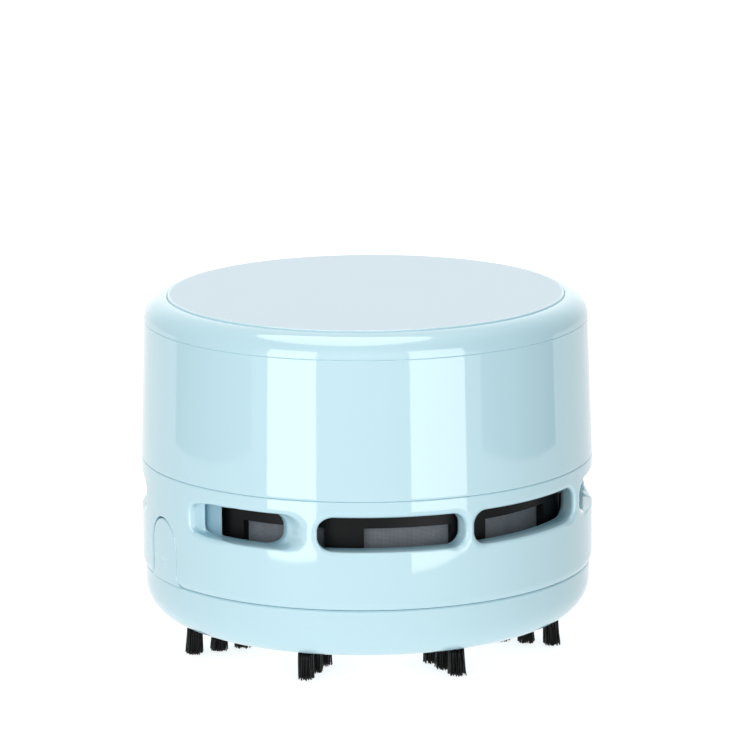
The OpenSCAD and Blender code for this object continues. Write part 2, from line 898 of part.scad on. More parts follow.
function coil_path() = [for (i = [0 : coil_turns * coil_steps]) let (
    t = i / (coil_turns * coil_steps),
    r = coil_wide_r + (coil_narrow_r - coil_wide_r) * t,
    a = 360 * i / coil_steps
) [r * cos(a), r * sin(a), coil_wire_r + coil_gap + (spring_l - 2 * coil_wire_r - 2 * coil_gap) * t]];

// Tapering coil that stands on the XY plane
module battery_coil() {
    wire(coil_path(), coil_wire_r, coil_sides);
}

module battery_springs() color("silver") {
    translate([cell_x, -contact_y, cell_z]) rotate([-90, 0, 0]) battery_coil();
    translate([-cell_x, contact_y, cell_z]) rotate([90, 0, 0]) battery_coil();
}

module contact_strips() color("silver") {
    for (side = [-1, 1]) {
        translate([side * cell_x - contact_w / 2, -contact_y - contact_t, contact_z]) {
            cube([contact_w, contact_t, contact_h]);
            translate([(contact_w - tag_w) / 2, 0, contact_h - weld]) cube([tag_w, contact_t, tag_h]);
        }
    }
    translate([-cell_x - contact_w / 2, contact_y, contact_z]) {
        cube([2 * cell_x + contact_w, contact_t, contact_h]);
    }
}

// ---------------------------------------------------------------- switch

module switch_bracket() color("whitesmoke") difference() {
    union() {
        translate([-bracket_w / 2, -bracket_l / 2, post_top]) cube([bracket_w, bracket_l, bracket_t]);
        for (side = [-1, 1]) {
            translate([0, side * (switch_w / 2 + clip_gap + clip_t / 2), switch_z + clip_h / 2 - weld]) {
                cube([clip_w, clip_t, clip_h], center = true);
            }
        }
    }
    for (side = [-1, 1]) {
        translate([0, side * post_y, post_top - over]) {
            cylinder(r = deck_screw_r + screw_play, h = bracket_t + 2 * over, $fn = 32);
        }
    }
}

module bracket_screws() color("silver") {
    for (side = [-1, 1]) {
        translate([0, side * post_y, switch_z]) mirror([0, 0, 1]) {
            screw_up(0, 0, 0, deck_screw_r, bracket_screw_l, deck_screw_head_r);
        }
    }
}

module switch_body() color("dimgray") difference() {
    union() {
        translate([-switch_w / 2, -switch_w / 2, switch_z]) cube([switch_w, switch_w, switch_h]);
        for (side = [-1, 1]) {
            translate([switch_w / 2 - weld, side * pin_y - pin_w / 2, pin_z]) {
                cube([pin_l + weld, pin_w, pin_t]);
            }
        }
    }
    translate([0, 0, switch_z + switch_floor]) cylinder(r = plunger_r + plunger_play, h = switch_h);
}

module switch_plunger() color("crimson") {
    translate([0, 0, plunger_z]) cylinder(r = plunger_r, h = plunger_top - plunger_z);
}

// ---------------------------------------------------------------- leads

// From the left contact to the motor, from the right contact to the switch, and on to the motor
module lead_wires() {
    tag_y = -contact_y - contact_t - wire_r - wire_touch;
    tag_z = contact_z + contact_h + tag_h / 2;
    left_tag = [-cell_x, tag_y, tag_z];
    right_tag = [cell_x, tag_y, tag_z];
    left_pole = [-terminal_x - terminal_t / 2 - wire_touch, 0, post_top + terminal_h / 2];
    right_pole = [-left_pole[0], 0, left_pole[2]];
    pin_in = [switch_w / 2 + pin_l + wire_touch, -pin_y, pin_z + pin_t / 2];
    pin_out = [pin_in[0], pin_y, pin_in[2]];
    left_rise = left_tag + wire_lift;
    right_rise = right_tag + [-wire_lift[0], wire_lift[1], wire_lift[2]];
    reach = [wire_reach, 0, 0];
    swing = [pole_reach, 0, 0];
    color("black") wire(curve(left_tag, left_rise, left_pole - reach, left_pole, 14), wire_r, 6);
    color("firebrick") wire(curve(right_tag, right_rise, pin_in + reach, pin_in, 14), wire_r, 6);
    color("firebrick") wire(curve(pin_out, pin_out + swing, right_pole + swing, right_pole, 10), wire_r, 6);
}

// ---------------------------------------------------------------- sleeve

module sleeve() color("lightblue") {
    rotate_extrude() polygon([
        [shell_bore_r, mid_seam],
        [body_r - groove, mid_seam],
        [body_r, mid_seam + groove],
        [sleeve_top_r, cap_seam - groove],
        [sleeve_top_r - groove, cap_seam],
        [sleeve_top_r - wall, cap_seam]
    ]);
    for (side = [-1, 1]) {
        difference() {
            union() {
                translate([0, side * sleeve_boss_y, mid_seam]) {
                    cylinder(r = sleeve_boss_r, h = sleeve_boss_h);
                }
                web_l = sleeve_top_r - wall / 2 - sleeve_boss_y;
                web_y = side > 0 ? sleeve_boss_y : -sleeve_top_r + wall / 2;
                translate([-sleeve_web_t / 2, web_y, mid_seam + deck_rim_up + fit]) {
                    cube([sleeve_web_t, web_l, sleeve_boss_h - deck_rim_up - fit]);
                }
            }
            translate([0, side * sleeve_boss_y, mid_seam - over]) {
                cylinder(r = deck_screw_r, h = over + deck_screw_l - deck_t + screw_end_gap, $fn = 32);
            }
        }
    }
}

// ---------------------------------------------------------------- battery cap and button

module cap_section() {
    difference() {
        union() {
            translate([0, cap_seam + part_gap]) square([cap_bore_r, cap_h - part_gap]);
            intersection() {
                translate([cap_bore_r, top_z - cap_round]) circle(r = cap_round);
                translate([0, cap_seam + part_gap]) square([sleeve_top_r, cap_h]);
            }
            translate([0, cap_seam - spigot_h]) square([cap_spigot_r, spigot_h + cap_h / 2]);
        }
        translate([0, ledge_top]) square([cap_bore_r, top_z]);
        translate([0, cap_seam - spigot_h - over]) {
            square([cap_spigot_r - cap_spigot_t, spigot_h + over - (cap_seam - ledge_top + ledge_t)]);
        }
        translate([0, cap_seam - spigot_h - over]) {
            square([cap_bore_r - ledge_in, cap_h + spigot_h + 2 * over]);
        }
        translate([sleeve_top_r, cap_seam + part_gap]) {
            rotate([0, 0, 45]) square(sqrt(2) * groove, center = true);
        }
    }
}

module battery_cap() color("lightblue") difference() {
    rotate_extrude() cap_section();
    for (i = [0 : leg_count - 1]) {
        ring_piece(
            leg_r - leg_play, leg_r + leg_t + leg_play, ledge_top - ledge_t - over, ledge_t + 2 * over,
            90 + i * 360 / leg_count, leg_slot_angle
        );
    }
}

module power_button() color("lightsteelblue") {
    skirt_z = ledge_top + button_travel + button_stop_gap;
    barb_z = ledge_top - ledge_t - barb_gap - barb_h;
    rotate_extrude() {
        polygon([
            [0, button_z],
            [button_r, button_z],
            [button_r, top_z - button_bevel],
            [button_r - button_bevel, top_z],
            [0, top_z]
        ]);
        translate([button_r - button_skirt_t, skirt_z]) square([button_skirt_t, button_z - skirt_z + weld]);
    }
    translate([0, 0, plunger_top + stem_gap]) {
        cylinder(r = stem_r, h = button_z - plunger_top - stem_gap + weld);
    }
    for (a = [0, 90]) {
        rotate([0, 0, a]) translate([0, 0, button_z - button_rib_h / 2 + weld]) {
            cube([2 * button_rib_r, button_rib_t, button_rib_h], center = true);
        }
    }
    for (i = [0 : leg_count - 1]) {
        a = 90 + i * 360 / leg_count;
        ring_piece(leg_r, leg_r + leg_t, barb_z, button_z - barb_z + weld, a, leg_angle);
        ring_piece(leg_r + leg_t - weld, leg_r + leg_t + barb_out, barb_z, barb_h, a, leg_angle);
    }
}

dust_tray();
brush_row(0);  // brush_row_1
brush_row(1);  // brush_row_2
brush_row(2);  // brush_row_3
brush_row(3);  // brush_row_4
brush_row(4);  // brush_row_5
brush_row(5);  // brush_row_6
brush_row(6);  // brush_row_7
brush_row(7);  // brush_row_8
release_tab_left();
release_tab_right();
vent_shell();
filter_cage();
filter_mesh();
motor_deck();
deck_screws();
motor_can();
motor_magnets();
motor_end_cap();
motor_terminals();
motor_screws();
motor_armature();
motor_shaft();
fan();
battery_holder();
battery_left();
battery_right();
battery_springs();
contact_strips();
switch_bracket();
bracket_screws();
switch_body();
switch_plunger();
lead_wires();
sleeve();
battery_cap();
power_button();
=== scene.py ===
"""Looks of the desktop mini vacuum cleaner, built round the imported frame."""
import json
import math
import random

import bpy
import numpy as np
from mathutils import Matrix, Vector


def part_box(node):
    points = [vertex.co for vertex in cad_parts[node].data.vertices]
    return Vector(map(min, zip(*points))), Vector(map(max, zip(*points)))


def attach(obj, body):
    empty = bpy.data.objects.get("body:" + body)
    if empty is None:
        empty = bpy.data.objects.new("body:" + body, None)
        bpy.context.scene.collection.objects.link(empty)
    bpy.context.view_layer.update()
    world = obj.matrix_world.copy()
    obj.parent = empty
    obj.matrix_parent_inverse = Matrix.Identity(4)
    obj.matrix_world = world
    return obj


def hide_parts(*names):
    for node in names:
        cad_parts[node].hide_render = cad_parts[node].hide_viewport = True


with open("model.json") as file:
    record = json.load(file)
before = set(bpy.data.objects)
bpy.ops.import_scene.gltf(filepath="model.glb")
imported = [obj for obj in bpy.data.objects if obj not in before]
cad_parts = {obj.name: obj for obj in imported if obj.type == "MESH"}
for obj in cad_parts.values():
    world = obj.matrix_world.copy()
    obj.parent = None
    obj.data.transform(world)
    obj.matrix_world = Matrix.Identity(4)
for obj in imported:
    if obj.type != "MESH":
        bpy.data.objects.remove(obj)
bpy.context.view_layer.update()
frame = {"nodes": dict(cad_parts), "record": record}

MM = 0.001
PHOTO_TURN = math.radians(-26.5)  # the photo's front, measured from the vents' front

# ---------------------------------------------------------------- sizes from the frame, in millimetres


def low(node):
    """Lower corner of a CAD node's box."""
    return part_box(node)[0] / MM


def high(node):
    """Upper corner of a CAD node's box."""
    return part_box(node)[1] / MM


SHELL_GAP = 0.1  # from the tray's seam to the foot of the CAD shell
TRAY_Z = low("dust_tray").z
TRAY_SEAM = low("vent_shell").z - SHELL_GAP
MID_SEAM = low("sleeve").z
CAP_SEAM = high("sleeve").z
TOP_Z = high("power_button").z
BODY_R = high("vent_shell").x

SLOT_H = 6.25
SLOT_Z = MID_SEAM - 3.1 - SLOT_H
LEDGE_R = BODY_R - 3.6  # the deepest face of the vents

# ---------------------------------------------------------------- node helpers


def node(tree, kind, **sockets):
    """Shader node with some of its sockets or settings filled in."""
    n = tree.nodes.new("ShaderNode" + kind)
    for key, value in sockets.items():
        if key in n.inputs:
            n.inputs[key].default_value = value
        else:
            setattr(n, key, value)
    return n


def found(tree, kind):
    """The first node of a kind in a tree."""
    return next(n for n in tree.nodes if n.type == kind)


def noise(tree, place, scale, detail):
    """Noise with so many waves in a metre."""
    cloud = node(tree, "TexNoise", Scale=scale, Detail=detail)
    tree.links.new(place, cloud.inputs["Vector"])
    return cloud.outputs["Fac"]


def between(tree, source, lowest, highest):
    """Goes from one value to another while the source goes from 0 to 1."""
    level = node(tree, "MapRange")
    level.inputs["To Min"].default_value = lowest
    level.inputs["To Max"].default_value = highest
    tree.links.new(source, level.inputs["Value"])
    return level.outputs[0]


def ramp(tree, source, start, end, curve="LINEAR"):
    """Goes from 0 to 1 while the source goes from start to end."""
    level = node(tree, "MapRange", interpolation_type=curve)
    level.inputs["From Min"].default_value = start
    level.inputs["From Max"].default_value = end
    tree.links.new(source, level.inputs["Value"])
    return level.outputs[0]


def blend(tree, factor, *colours):
    """Mix of two colours, each given as a value or as a socket."""
    mix = node(tree, "MixRGB")
    tree.links.new(factor, mix.inputs[0])
    for socket, colour in zip((mix.inputs[1], mix.inputs[2]), colours):
        if isinstance(colour, tuple):
            socket.default_value = colour
        else:
            tree.links.new(colour, socket)
    return mix.outputs[0]


def combine(tree, operation, a, b):
    """Math node on two sockets."""
    both = node(tree, "Math", operation=operation)
    tree.links.new(a, both.inputs[0])
    tree.links.new(b, both.inputs[1])
    return both.outputs[0]


def split(tree, vector):
    """The X, Y and Z sockets of a vector."""
    parts = node(tree, "SeparateXYZ")
    tree.links.new(vector, parts.inputs[0])
    return parts.outputs


def radius_round_z(tree):
    """Distance of the shaded point from the Z axis."""
    flat = node(tree, "VectorMath", operation="MULTIPLY")
    tree.links.new(found(tree, "TEX_COORD").outputs["Object"], flat.inputs[0])
    flat.inputs[1].default_value = (1, 1, 0)
    reach = node(tree, "VectorMath", operation="LENGTH")
    tree.links.new(flat.outputs[0], reach.inputs[0])
    return reach.outputs["Value"]


# ---------------------------------------------------------------- materials

CLOUD_SCALE = 70.0  # noise scales, in waves per metre
FLOW_SCALE = 45.0
FELT_SCALE = 420.0
FELT_UNEVEN = 0.28
WEAVE_PITCH = 0.24 * MM
WEAVE_RELIEF = 0.03 * MM
WEAVE_LEVELS = (-0.3, 0.7)  # heights of the woven waves taken as hole and as wire
HOLE_TINT = 0.45
WIRE_TINT = 1.15


def tinted(colour, factor):
    """A lighter or darker colour, with its alpha."""
    return tuple(min(1.0, c * factor) for c in colour) + (1.0,)


def finish(name, colour, rough, metallic=0.0, tint=0.03, spread=0.03, grain=1500.0, bump=0.000004,
           wave=0.0, stretch=(1, 1, 1), coat=0.0, specular=0.5):
    """A moulded, drawn or plated surface: cloudy colour, uneven gloss and a fine grain."""
    m = bpy.data.materials.new(name)
    m.use_nodes = True
    tree = m.node_tree
    tree.nodes.clear()
    link = tree.links.new
    shader = node(tree, "BsdfPrincipled", Metallic=metallic)
    shader.inputs["Specular IOR Level"].default_value = specular
    shader.inputs["Coat Weight"].default_value = coat
    link(shader.outputs[0], node(tree, "OutputMaterial").inputs[0])
    scaled = node(tree, "Mapping", Scale=stretch)
    link(node(tree, "TexCoord").outputs["Object"], scaled.inputs["Vector"])
    place = scaled.outputs[0]
    cloud = noise(tree, place, CLOUD_SCALE, 3.0)
    link(blend(tree, cloud, tinted(colour, 1 - tint), tinted(colour, 1 + tint)), shader.inputs["Base Color"])
    fine = noise(tree, place, grain, 2.0)
    link(between(tree, fine, max(0.0, rough - spread), rough + spread), shader.inputs["Roughness"])
    relief = node(tree, "Bump", Distance=bump, Strength=1.0)
    link(fine, relief.inputs["Height"])
    if wave:
        soft = node(tree, "Bump", Distance=wave, Strength=1.0)
        link(noise(tree, place, FLOW_SCALE, 1.0), soft.inputs["Height"])
        link(soft.outputs[0], relief.inputs["Normal"])
    link(relief.outputs[0], shader.inputs["Normal"])
    return m


def woven(name, colour, rough, pitch, radius):
    """A plain weave of wires round the Z axis: light wires, dark holes and a mottled felt over both."""
    m = finish(name, colour, rough)
    tree = m.node_tree
    link = tree.links.new
    place = found(tree, "TEX_COORD").outputs["Object"]
    x, y, z = split(tree, place)
    waves = []
    for source, scale in ((combine(tree, "ARCTAN2", y, x), radius / pitch), (z, 1 / pitch)):
        turn = node(tree, "Math", operation="MULTIPLY")
        link(source, turn.inputs[0])
        turn.inputs[1].default_value = 2 * math.pi * scale
        swing = node(tree, "Math", operation="SINE")
        link(turn.outputs[0], swing.inputs[0])
        waves.append(swing.outputs[0])
    level = ramp(tree, combine(tree, "MAXIMUM", *waves), *WEAVE_LEVELS)
    mottled = node(tree, "VectorMath", operation="SCALE")
    link(blend(tree, level, tinted(colour, HOLE_TINT), tinted(colour, WIRE_TINT)), mottled.inputs[0])
    felt = noise(tree, place, FELT_SCALE, 4.0)
    link(between(tree, felt, 1 - FELT_UNEVEN, 1 + FELT_UNEVEN), mottled.inputs["Scale"])
    link(mottled.outputs[0], found(tree, "BSDF_PRINCIPLED").inputs["Base Color"])
    relief = found(tree, "BUMP")
    relief.inputs["Distance"].default_value = WEAVE_RELIEF
    link(level, relief.inputs["Height"])
    return m


BLUE = (0.517, 0.747, 0.825)
MATERIALS = {
    "body_blue": finish("body_blue", BLUE, 0.05, tint=0.012, spread=0.012, bump=0.0000006, wave=0.000006),
    "button_satin": finish("button_satin", (0.54, 0.67, 0.75), 0.42, tint=0.012, grain=2600.0, bump=0.000006),
    "inner_white": finish("inner_white", (0.80, 0.81, 0.79), 0.34, spread=0.05),
    "cage_black": finish("cage_black", (0.0035, 0.0038, 0.0042), 0.42, tint=0.2, spread=0.06, specular=0.12),
    "mesh_grey": woven("mesh_grey", (0.14, 0.165, 0.19), 0.55, WEAVE_PITCH, high("filter_mesh").x * MM),
    "bristle_black": finish("bristle_black", (0.004, 0.004, 0.0045), 0.4, tint=0.3, stretch=(1, 1, 0.2),
                            specular=0.2),
    "can_steel": finish("can_steel", (0.62, 0.62, 0.63), 0.28, 1.0, spread=0.08, grain=900.0,
                        stretch=(1, 1, 0.04)),
    "screw_steel": finish("screw_steel", (0.58, 0.59, 0.60), 0.32, 1.0, tint=0.08, spread=0.06),
    "magnet_dark": finish("magnet_dark", (0.03, 0.03, 0.032), 0.6, tint=0.2, grain=3000.0, bump=0.00002),
    "armature_copper": finish("armature_copper", (0.60, 0.24, 0.10), 0.3, 0.9, tint=0.15, stretch=(1, 1, 12)),
    "contact_nickel": finish("contact_nickel", (0.70, 0.68, 0.62), 0.22, 1.0, tint=0.05),
    "terminal_brass": finish("terminal_brass", (0.68, 0.52, 0.22), 0.28, 1.0, tint=0.06),
    "fan_white": finish("fan_white", (0.82, 0.82, 0.79), 0.36, spread=0.06),
    "cell_jacket": finish("cell_jacket", (0.05, 0.16, 0.10), 0.18, coat=0.4, tint=0.05),
    "switch_black": finish("switch_black", (0.016, 0.016, 0.018), 0.45, tint=0.2, spread=0.08),
    "plunger_white": finish("plunger_white", (0.80, 0.80, 0.77), 0.25),
    "lead_rubber": finish("lead_rubber", (0.20, 0.02, 0.02), 0.4, tint=0.1, spread=0.06),
}

# Painted shade: a darker, bluer colour laid on the deep and upward faces of the vents, where shade falls.
VENT_PAINTED_SHADE = (0.27, 0.46, 0.55)
VENT_LOW = SLOT_Z - 0.25
VENT_HIGH = SLOT_Z + SLOT_H + 0.3
VENT_FADE = 0.6  # height over which the painted shade fades out
INMOST_FADE = (0.5, 0.1)  # outside the ledge
UPWARD_FADE = (0.3, 0.95)  # upward part of the normal
DEPTH_FADE = (0.4, 3.2)  # below the skin
DISC_EDGE_IN = 0.34
DISC_EDGE_ROUGH = 0.06
DISC_EDGE_BLUR = 0.04 * MM


def paint_vent_shade(m, colour):
    """Paints shade into the colour of the upward and inmost faces of the vents, which take light in several
    times: there the colour turns darker and bluer.
    """
    tree = m.node_tree
    link = tree.links.new
    place = found(tree, "TEX_COORD")
    radius = radius_round_z(tree)
    height = split(tree, place.outputs["Object"])["Z"]
    facing = split(tree, place.outputs["Normal"])["Z"]

    def fade(source, start, end):
        """Soft step from 0 to 1."""
        return ramp(tree, source, start, end, "SMOOTHSTEP")

    inmost = fade(radius, *((LEDGE_R + out) * MM for out in INMOST_FADE))
    deep = fade(radius, *((BODY_R - depth) * MM for depth in DEPTH_FADE))
    upward = combine(tree, "MULTIPLY", fade(facing, *UPWARD_FADE), deep)
    band = combine(tree, "MULTIPLY", fade(height, (VENT_LOW - VENT_FADE) * MM, VENT_LOW * MM),
                   fade(height, (VENT_HIGH + VENT_FADE) * MM, VENT_HIGH * MM))
    painted_shade_share = combine(tree, "MULTIPLY", combine(tree, "MAXIMUM", inmost, upward), band)
    base = found(tree, "BSDF_PRINCIPLED").inputs["Base Color"]
    link(blend(tree, painted_shade_share, base.links[0].from_socket, colour + (1.0,)), base)


def glossy_edge(m, colour, radius, rough):
    """Turns a satin face glossy and bluer outside a radius round the Z axis."""
    tree = m.node_tree
    edge = ramp(tree, radius_round_z(tree), radius - DISC_EDGE_BLUR, radius + DISC_EDGE_BLUR)
    for name, value in (("Base Color", colour + (1.0,)), ("Roughness", (rough, rough, rough, 1.0))):
        socket = found(tree, "BSDF_PRINCIPLED").inputs[name]
        tree.links.new(blend(tree, edge, socket.links[0].from_socket, value), socket)


# Painted shade in the vents of the body's material.
paint_vent_shade(MATERIALS["body_blue"], VENT_PAINTED_SHADE)
glossy_edge(MATERIALS["button_satin"], BLUE, (high("power_button").x - DISC_EDGE_IN) * MM, DISC_EDGE_ROUGH)

for subpart in frame["record"]["subparts"]:
    obj = frame["nodes"][subpart["node"]]
    obj.data.materials.clear()
    obj.data.materials.append(MATERIALS[subpart["material_slot"]])

# ---------------------------------------------------------------- mesh tools

SEGMENTS = 240  # round a full turn
ROUND_STEPS = 6
STRAIGHT = 0.01  # a corner that bends less, in radians, stays a point
HALF_SIDE = 0.49  # the most of a side that one round takes


def outline(corners):
    """Closed counter-clockwise outline from corners (r, z, radius): points with their outward normals."""
    points = []
    for i, (r, z, radius) in enumerate(corners):
        here = Vector((r, z))
        back = Vector(corners[i - 1][:2]) - here
        ahead = Vector(corners[(i + 1) % len(corners)][:2]) - here
        a, b = back.normalized(), ahead.normalized()
        half = a.angle(b) / 2
        if radius <= 0 or half > math.pi / 2 - STRAIGHT:
            normal = Vector((ahead.y - back.y, back.x - ahead.x)).normalized()
            points.append((here, normal))
            continue
        cut = min(radius / math.tan(half), HALF_SIDE * min(back.length, ahead.length))
        radius = cut * math.tan(half)
        centre = here + (a + b).normalized() * radius / math.sin(half)
        outward = 1 if a.x * b.y - a.y * b.x < 0 else -1
        first, last = here + a * cut - centre, here + b * cut - centre
        turn = math.atan2(first.x * last.y - first.y * last.x, first.dot(last))
        for k in range(ROUND_STEPS + 1):
            t = turn * k / ROUND_STEPS
            c, s = math.cos(t), math.sin(t)
            arm = Vector((first.x * c - first.y * s, first.x * s + first.y * c))
            points.append((centre + arm, arm.normalized() * outward))
    return points


def new_mesh(name, verts, faces, normals=None):
    """Mesh object from points in millimetres."""
    mesh = bpy.data.meshes.new(name)
    mesh.from_pydata([Vector(v) * MM for v in verts], [], faces)
    mesh.polygons.foreach_set("use_smooth", [True] * len(mesh.polygons))
    if normals:
        mesh.normals_split_custom_set_from_vertices(normals)
    mesh.validate()
    obj = bpy.data.objects.new(name, mesh)
    bpy.context.scene.collection.objects.link(obj)
    return obj


def turned(points, segments=SEGMENTS, start=0.0, sweep=360.0, centre=(0, 0)):
    """Turns an outline round an upright axis, all the way or part of it, with the open ends closed."""
    full = sweep >= 360.0
    rings = segments if full else segments + 1
    verts, normals, faces = [], [], []
    for k in range(rings):
        angle = math.radians(start + sweep * k / segments)
        c, s = math.cos(angle), math.sin(angle)
        for p, n in points:
            verts.append((centre[0] + p.x * c, centre[1] + p.x * s, p.y))
            normals.append((n.x * c, n.x * s, n.y))
    count = len(points)
    for k in range(segments):
        a, b = k * count, (k + 1) % rings * count
        for i in range(count):
            j = (i + 1) % count
            faces.append((a + i, b + i, b + j, a + j))
    if not full:
        for ring, side in ((0, -1), (rings - 1, 1)):
            angle = math.radians(start + (sweep if side > 0 else 0))
            first = len(verts)
            verts += verts[ring * count:(ring + 1) * count]
            normals += [(-side * math.sin(angle), side * math.cos(angle), 0)] * count
            order = range(first, first + count)
            faces.append(tuple(order if side < 0 else reversed(order)))
    return verts, faces, normals


def turned_disc(points, segments=SEGMENTS):
    """Turns an open outline, from the Z axis and back to it."""
    verts, normals, faces = [], [], []
    inner = points[1:-1]
    count = len(inner)
    for k in range(segments):
        angle = 2 * math.pi * k / segments
        c, s = math.cos(angle), math.sin(angle)
        for p, n in inner:
            verts.append((p.x * c, p.x * s, p.y))
            normals.append((n.x * c, n.x * s, n.y))
    ends = []
    for (p, _), up in ((points[0], -1), (points[-1], 1)):
        ends.append(len(verts))
        verts.append((0, 0, p.y))
        normals.append((0, 0, up))
    for k in range(segments):
        a, b = k * count, (k + 1) % segments * count
        for i in range(count - 1):
            faces.append((a + i, b + i, b + i + 1, a + i + 1))
        faces.append((ends[0], b, a))
        faces.append((ends[1], a + count - 1, b + count - 1))
    return verts, faces, normals


def block(x, y, z):
    """Straight rib between three pairs of limits."""
    verts, faces, normals = [], [], []
    for axis in range(3):
        for side in (0, 1):
            first = len(verts)
            other = [(x, y, z)[(axis + 1) % 3], (x, y, z)[(axis + 2) % 3]]
            for i, j in ((0, 0), (1, 0), (1, 1), (0, 1)):
                corner = [0, 0, 0]
                corner[axis] = (x, y, z)[axis][side]
                corner[(axis + 1) % 3] = other[0][i]
                corner[(axis + 2) % 3] = other[1][j]
                verts.append(tuple(corner))
                normals.append(tuple((2 * side - 1) * (k == axis) for k in range(3)))
            order = (first, first + 1, first + 2, first + 3)
            faces.append(order if side else order[::-1])
    return verts, faces, normals


def joined(name, *parts):
    """One mesh object from several closed forms."""
    verts, faces, normals = [], [], []
    for part_verts, part_faces, part_normals in parts:
        faces += [tuple(i + len(verts) for i in face) for face in part_faces]
        verts += part_verts
        normals += part_normals
    return new_mesh(name, verts, faces, normals)


def dress(obj, body, slot, *nodes):
    """Gives a shape its material and the body that it rides on, and hides the CAD nodes that it stands for.
    """
    obj.data.materials.append(MATERIALS[slot])
    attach(obj, body)
    if nodes:
        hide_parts(*nodes)
    return obj


# ---------------------------------------------------------------- bristles

ROWS = 8
TUFT_R = (36.1, 31.1, 26.1)
ROOT_R = 1.38  # of one tuft
ROOT_IN = 0.2  # how far the strands start inside the tray
STRANDS = 96
STRAND_R = 0.17
STRAND_STEPS = 4
STRAND_THINNING = 0.25
GOLDEN_ANGLE = 2.399963
ANGLE_SCATTER = 0.2
SPLAY = (1.05, 1.18)
LEAN_OUT = 0.2
TIP_SCATTER = 0.08
TIP_Z, TIP_Z_SCATTER = 0.12, 0.16
BOW_SCATTER = 0.12
draw = random.Random(11)


def strand(verts, faces, root, tip, bow):
    """One bristle: a bent three-sided rod that thins a little towards its cut tip."""
    first = len(verts)
    for k in range(STRAND_STEPS + 1):
        t = k / STRAND_STEPS
        middle = root.lerp(tip, t) + bow * math.sin(math.pi * t * 0.5) * t
        middle.z = max(middle.z, 0.0)
        r = STRAND_R * (1 - STRAND_THINNING * t)
        for c in range(3):
            a = 2 * math.pi * c / 3
            verts.append((middle.x + r * math.cos(a), middle.y + r * math.sin(a), middle.z))
    for k in range(STRAND_STEPS):
        a = first + 3 * k
        for c in range(3):
            d = (c + 1) % 3
            faces.append((a + c, a + 3 + c, a + 3 + d, a + d))
    faces.append((first, first + 1, first + 2))
    last = first + 3 * STRAND_STEPS
    faces.append((last + 2, last + 1, last))


def tuft(verts, faces, place, turn):
    """Strands in a sunflower pattern round a point of the spoke, splayed and cut unevenly."""
    for i in range(STRANDS):
        reach = ROOT_R * math.sqrt((i + 0.5) / STRANDS)
        a = GOLDEN_ANGLE * i + draw.uniform(-ANGLE_SCATTER, ANGLE_SCATTER)
        across, along = reach * math.cos(a), reach * math.sin(a)
        root = Vector((place + across, along, TRAY_Z + ROOT_IN))
        wide = draw.uniform(*SPLAY)
        tip = Vector((place + wide * across + draw.gauss(LEAN_OUT, TIP_SCATTER),
                      wide * along + draw.gauss(0, TIP_SCATTER), max(0.0, draw.gauss(TIP_Z, TIP_Z_SCATTER))))
        bow = Vector((draw.gauss(0, BOW_SCATTER), draw.gauss(0, BOW_SCATTER), 0))
        strand(verts, faces, turn @ root, turn @ tip, turn @ bow)


for row in range(ROWS):
    verts, faces = [], []
    for place in TUFT_R:
        tuft(verts, faces, place, Matrix.Rotation(2 * math.pi * row / ROWS, 3, "Z"))
    tufts = new_mesh("bristles_row_%d" % (row + 1), verts, faces)
    dress(tufts, "dust_tray", "bristle_black", "brush_row_%d" % (row + 1))

# ---------------------------------------------------------------- sleeve

SHARP, FINE, SMALL, MEDIUM, LARGE = 0.02, 0.03, 0.1, 0.2, 0.3  # rounds of corners
SEAM_EDGE = 0.11  # chamfer on both sides of the upper seam
WELD = 0.2  # how far joined forms run into each other
SLEEVE_TOP_R = 41.65
SLEEVE_WALL = 2.0
SLEEVE_FOOT_IN, SLEEVE_FOOT_H, SLEEVE_FOOT_ROUND = 0.12, 0.4, 0.5
BOSS_Y = 32.0
BOSS_R = 2.8
BOSS_BORE = 1.1
BOSS_SEGMENTS = 32
BOSS_TOP = MID_SEAM + 12
WEB_T = 1.6
WEB_OUT = SLEEVE_TOP_R - 1.2
WEB_LOW = MID_SEAM + 3.25

boss_outline = outline([
    (BOSS_BORE, MID_SEAM, MEDIUM),
    (BOSS_R, MID_SEAM, MEDIUM),
    (BOSS_R, BOSS_TOP, LARGE),
    (BOSS_BORE, BOSS_TOP, LARGE),
])
sleeve_parts = [turned(outline([
    (BODY_R - SLEEVE_WALL, MID_SEAM, MEDIUM),
    (BODY_R - SLEEVE_FOOT_IN, MID_SEAM, LARGE),
    (BODY_R, MID_SEAM + SLEEVE_FOOT_H, SLEEVE_FOOT_ROUND),
    (SLEEVE_TOP_R, CAP_SEAM - SEAM_EDGE, FINE),
    (SLEEVE_TOP_R - SEAM_EDGE, CAP_SEAM, FINE),
    (SLEEVE_TOP_R - SLEEVE_WALL, CAP_SEAM, MEDIUM),
]))]
for side in (-1, 1):
    sleeve_parts.append(turned(boss_outline, BOSS_SEGMENTS, centre=(0, side * BOSS_Y)))
    web_y = sorted((side * (BOSS_Y + BOSS_R - WELD), side * WEB_OUT))
    sleeve_parts.append(block((-WEB_T / 2, WEB_T / 2), web_y, (WEB_LOW, BOSS_TOP - WELD)))
dress(joined("housing_sleeve", *sleeve_parts), "housing", "body_blue", "sleeve")

# ---------------------------------------------------------------- battery cap

